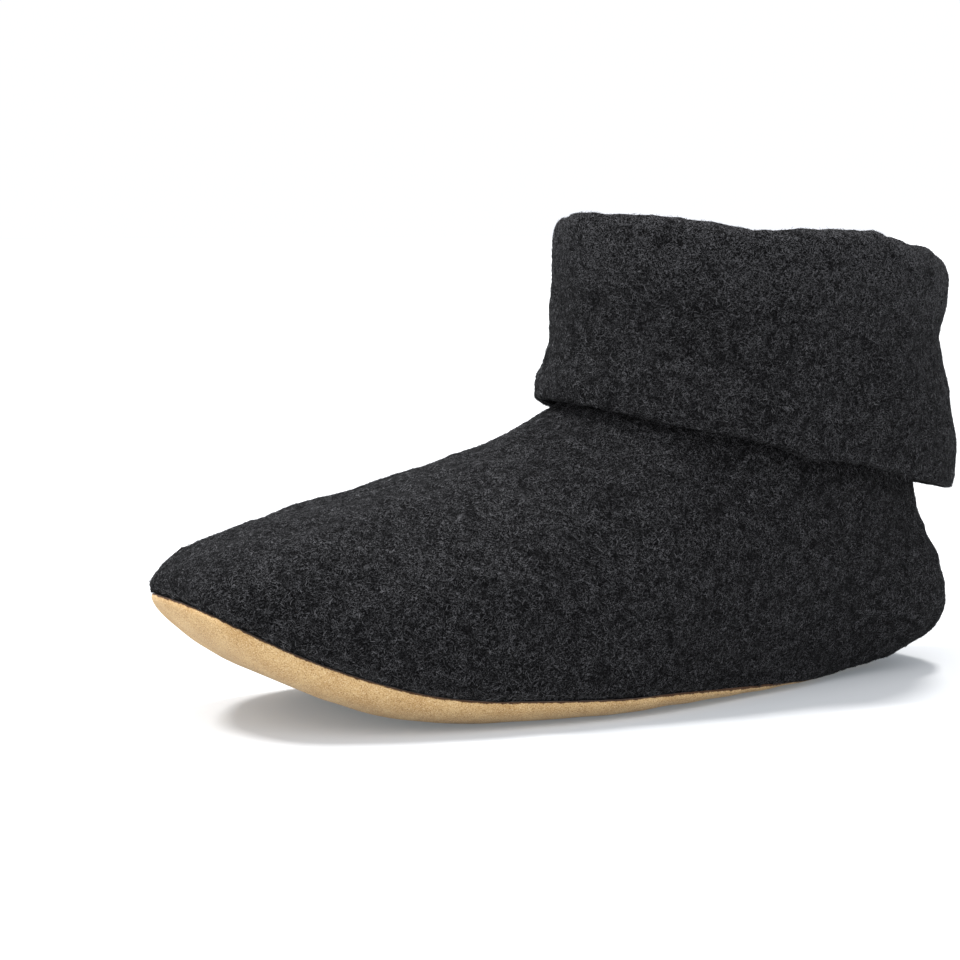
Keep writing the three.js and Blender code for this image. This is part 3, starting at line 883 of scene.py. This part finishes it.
def cuff_points(level, offset, rise=0.0):
    """Points off the straight line from ankle to shaft, at height shares between hem and rim."""
    hem = sloped_height(shoe.turn, HEM_FRONT_HEIGHT, HEM_BACK_HEIGHT) + fold_sum("hem")
    rim = rim_height(shoe.turn) + fold_sum("rim")
    height = mix(hem[:, None], rim[:, None], level) + rise
    share = (height - shoe.ankle[:, None, 2]) / (shoe.shaft - shoe.ankle)[:, None, 2]
    points = mix(shoe.ankle[:, None], shoe.shaft[:, None], np.minimum(share, 1)[..., None])
    points = points + shoe.shaft_out[:, None] * offset[..., None]
    points[..., 2] = height
    return points


def cuff_stand_off(levels):
    """How far the cuff's outer face stands off the line of the shaft, at each turn and level."""
    cos = np.cos(shoe.turn)
    weights = {
        "front": np.maximum(cos, 0) ** 2,
        "side": 1 - cos**2,
        "back": np.minimum(cos, 0) ** 2,
    }
    known = [row["level"] for row in CUFF_LEVELS]
    total = np.zeros((COLUMNS, len(levels)))
    for name, weight in weights.items():
        shares = [row[name] for row in CUFF_LEVELS]
        total += WOOL * weight[:, None] * smooth_curve(levels, known, shares)
    for name, band in FOLD_BANDS.items():
        total += fold_sum(name)[:, None] * bell(levels - band["level"], band["spread"])
    return total


def cuff_arch(outer, inner, rise, rows):
    """Arch of the fold, from one distance off the shaft's line over to another."""
    angles = np.linspace(0, math.pi, rows)[None, :]
    offset = (outer + inner) / 2 + (outer - inner) / 2 * np.cos(angles)
    return cuff_points(np.ones_like(offset), offset, rise * np.sin(angles) - FOLD_RISE)


def cuff_section():
    """Outer face, rounded fold, short inner leg, and the same again inside, hem to hem."""
    levels = np.linspace(0, CUFF_LEVELS[-1]["level"], CUFF_ROWS)
    stand_off = cuff_stand_off(levels)
    levels = np.broadcast_to(levels, stand_off.shape)
    outside = cuff_points(levels, stand_off)
    sparse = np.linspace(0, CUFF_ROWS - 1, CUFF_INNER_ROWS).round().astype(int)
    inside = cuff_points(levels[:, sparse], stand_off[:, sparse] - WOOL)
    hem_angles = np.linspace(0, math.pi, HEM_ROWS + 2)[None, 1:-1]
    hem_offset = stand_off[:, :1] - WOOL / 2 - WOOL / 2 * np.cos(hem_angles)
    hem = cuff_points(np.zeros_like(hem_offset), hem_offset, -WOOL / 2 * np.sin(hem_angles))
    top = stand_off[:, -1:]
    crown = cuff_arch(top, np.full_like(top, -WOOL), FOLD_RISE, CROWN_ROWS)
    hollow = cuff_arch(top - WOOL, np.zeros_like(top), FOLD_RISE - WOOL, HOLLOW_ROWS)
    leg_end = shoe.shaft[:, 2] + CLEARANCE
    leg_share = np.linspace(0, 1, LEG_ROWS)[1:]
    inner_leg = np.repeat(crown[:, -1:], len(leg_share), 1)
    inner_leg[..., 2] = mix(crown[:, -1:, 2], leg_end[:, None], leg_share[None, :])
    outer_leg = hollow[:, -1:].copy()
    outer_leg[..., 2] = leg_end[:, None]
    visible = np.concatenate([hem, outside, crown, inner_leg], 1)
    hidden = np.concatenate([outer_leg, hollow[:, ::-1], inside[:, ::-1]], 1)
    return visible, hidden


def make_cuff():
    visible, hidden = cuff_section()
    rows = visible.shape[1]
    place = np.arange(rows)[None, :]
    free = soft_step(place, 0, HEM_ROWS) * soft_step(rows - 1 - place, 0, LEG_CALM_ROWS)
    outer = visible + scaled(grid_normals(visible), felt_relief(visible, CUFF_SEED) * free)
    ring = np.concatenate([outer, hidden], 1)
    # Painted highlight along the fold's crest: full near the crest, gone further down
    crest = HEM_ROWS + CUFF_ROWS + CROWN_ROWS // 2
    from_crest = np.abs(np.arange(ring.shape[1]) - crest)
    crest_highlight = np.broadcast_to(soft_step(from_crest, CREST_HIGHLIGHT_END, CREST_HIGHLIGHT_FULL), ring.shape[:2])
    faces = grid_faces(*ring.shape[:2], closed_rows=True)
    piece = make_mesh("wool_cuff", ring, faces, cuff_look, {"crest_highlight": crest_highlight})
    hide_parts("cuff")
    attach(piece, "root")
    return outer


def make_footbed():
    """Felt footbed in the tray, with a rounded rim that meets the wool and a lumpy top."""
    base = SUEDE + CLEARANCE
    side = mix(math.pi / 2, math.radians(BED_SIDE), np.linspace(0, 1, BED_EDGE_ROWS))
    lower = shoe.sole_edge(side[None, :], base + BED_STAND_OFF)
    plain = upper_face()
    wool = plain - grid_normals(plain) * (WOOL + 2 * CLEARANCE)
    rings = []
    for depth, inset in BED_RIM:
        height = base + FOOTBED - depth
        above = wool[..., 2] - underside(wool[..., 0]) - height
        row = np.argmax(above > 0, axis=1)
        ring = wool[np.arange(COLUMNS), row] - shoe.outward * inset
        ring[:, 2] = underside(ring[:, 0]) + height
        rings.append(ring)
    walls = np.concatenate([lower, np.stack(rings, 1)], 1)
    bottom = across(walls[:, 0], BED_ROWS, base + BED_STAND_OFF)
    top = across(walls[:, -1], BED_ROWS, base + FOOTBED)
    inside = np.sin(np.linspace(0, np.pi, BED_ROWS))[None, :] ** 2
    top[..., 2] += lumps(top, BED_SEED, **BED_LUMPS) * inside
    points, faces = joined([(walls, True, False), (bottom, False, True), (top, False, False)])
    piece = welded(make_mesh("felt_footbed", points, faces, footbed_look))
    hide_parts("insole")
    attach(piece, "root")


def face_bend(face, normals, column, row, way):
    """How strongly the face curves along a way, at chosen quads; positive where it bends off."""
    total = np.zeros((len(way), 1))
    ahead = (np.roll(face, -1, 0), np.roll(normals, -1, 0))
    above = (np.roll(face, -1, 1), np.roll(normals, -1, 1))
    for next_face, next_normals in (ahead, above):
        edge = (next_face - face)[column, row]
        size = np.maximum(np.linalg.norm(edge, axis=1, keepdims=True), 1e-6)
        swing = np.sum((next_normals - normals)[column, row] * edge, 1, keepdims=True) / size**2
        total += swing * (np.sum(way * edge, 1, keepdims=True) / size) ** 2
    return np.clip(total, *FIBRE_BEND)


def make_fibres(name, face):
    """Short curled fibres that lie on a face of wool and stand off it a little."""
    coat = FIBRE_COATS[name]
    count = coat["count"]
    face = face[:, coat["rows"]]
    rng = np.random.default_rng(coat["seed"])
    normals = grid_normals(face)
    ahead = np.roll(face, -1, 0)[:, :-1] - face[:, :-1]
    above = face[:, 1:] - face[:, :-1]
    area = np.linalg.norm(np.cross(ahead, above), axis=-1)
    chosen = rng.choice(area.size, count, p=(area / area.sum()).ravel())
    column, row = np.unravel_index(chosen, area.shape)
    a, b = rng.random((2, count, 1))
    root = face[column, row] + a * ahead[column, row] + b * above[column, row]
    normal = normals[column, row]
    way = unit(np.cross(normal, rng.normal(size=(count, 3))))
    side = np.cross(normal, way)
    bend = face_bend(face, normals, column, row, way)
    length = rng.uniform(*FIBRE_LENGTH, (count, 1))
    curl = rng.uniform(-FIBRE_CURL, FIBRE_CURL, (count, 1)) * length
    rise = rng.uniform(*FIBRE_RISE, (count, 1)) ** FIBRE_RISE_POWER * FIBRE_RISE_SCALE
    tip_rise = rng.uniform(*FIBRE_TIP, (count, 1)) * rise
    drop = bend * length**2 / 2
    middle = way * length / 2 + side * curl / 2 + normal * (rise * FIBRE_MIDDLE_RISE - drop / 4)
    tip = way * length + side * curl * FIBRE_TIP_CURL + normal * (tip_rise - drop)
    spine = np.stack([root - normal * FIBRE_ROOT, root + middle, root + tip], 1)
    roll = rng.uniform(-FIBRE_ROLL, FIBRE_ROLL, (count, 1))
    width = rng.uniform(*FIBRE_WIDTH, (count, 1))
    half = (side * np.cos(roll) + normal * np.sin(roll)) * width / 2
    half = half[:, None] * np.array(FIBRE_TAPER)[None, :, None]
    edges = np.stack([spine - half, spine + half], 2)
    corners = 2 * len(FIBRE_TAPER)
    first = np.arange(count)[:, None] * corners
    quads = np.concatenate([first + [0, 1, 3, 2], first + [2, 3, 5, 4]])
    shade = np.repeat(rng.random(count) ** FIBRE_SHADE, corners)
    piece = make_mesh(name, edges, quads, fibre_look, {"shade": shade})
    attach(piece, "root")


def camera():
    """Camera at the photograph's place: level with the rim, before the outer side of the toe."""
    side_turn = math.radians(30)
    distance = 760.0
    height = 149.0
    aim = np.array([69.0, 0.0, 0.0])
    aim_column = 556.0
    horizon_row = 212.0
    picture = 960.0
    sensor = 36.0
    pixels_per_mm = 3.25
    focal = pixels_per_mm * distance
    back = np.array([math.sin(side_turn), math.cos(side_turn), 0.0])
    place = aim + back * distance + UP * height
    pitch = math.atan((picture / 2 - horizon_row) / focal)
    swing = math.atan((aim_column - picture / 2) / focal * math.cos(pitch))
    right = np.cross(-back, UP)
    level = -back * math.cos(swing) - right * math.sin(swing)
    right = np.cross(level, UP)
    ahead = level * math.cos(pitch) - UP * math.sin(pitch)
    up = np.cross(right, ahead)
    lens = bpy.data.cameras.new("camera")
    lens.sensor_width = sensor
    lens.lens = focal / picture * sensor
    lens.clip_start = 0.01
    lens.clip_end = 50
    made = bpy.data.objects.new("camera", lens)
    turned = Matrix(np.stack([right, up, -ahead], 1).tolist()).to_4x4()
    made.matrix_world = Matrix.Translation([value * MM for value in place]) @ turned
    bpy.context.scene.collection.objects.link(made)
    bpy.context.scene.camera = made


def soft_sun(name, toward, softness, strength):
    """Even light from one direction, for its angle across in degrees and its strength."""
    light = bpy.data.lights.new(name, "SUN")
    light.angle = math.radians(softness)
    light.energy = strength
    made = bpy.data.objects.new(name, light)
    back = unit(np.asarray(toward, float))
    right = unit(np.cross([0.0, 1.0, 0.0], back))
    turned = np.stack([right, np.cross(back, right), back], 1)
    made.matrix_world = Matrix(turned.tolist()).to_4x4()
    bpy.context.scene.collection.objects.link(made)


def studio():
    """White background and pale floor under two suns overhead, with a weak broad one in front."""
    scene = bpy.context.scene
    scene.view_settings.view_transform = "Standard"
    world = bpy.data.worlds.new("studio")
    world.use_nodes = True
    background = world.node_tree.nodes["Background"]
    background.inputs["Color"].default_value = (1.0, 1.02, 1.08, 1)
    background.inputs["Strength"].default_value = 1.0
    scene.world = world
    half = FLOOR_SIDE / 2
    corners = [[-half, -half, 0], [half, -half, 0], [half, half, 0], [-half, half, 0]]
    nodes = Nodes("pale_floor")
    nodes.shade({
        "Base Color": (0.5, 0.5, 0.5, 1),
        "Emission Color": (0.82, 0.92, 1.0, 1),
        "Emission Strength": 0.15,
        "Roughness": 1.0,
        "Specular IOR Level": 0.0,
    })
    floor = make_mesh("floor", corners, np.array([[0, 1, 2, 3]]), nodes.material)
    for name, sun in SUNS.items():
        soft_sun(name, **sun)


camera()
studio()
make_outsole()
make_footbed()
upper_outer = make_upper()
cuff_outer = make_cuff()
make_fibres("upper_fibres", upper_outer)
make_fibres("cuff_fibres", cuff_outer)
make_fibres("seam_fibres", upper_outer)
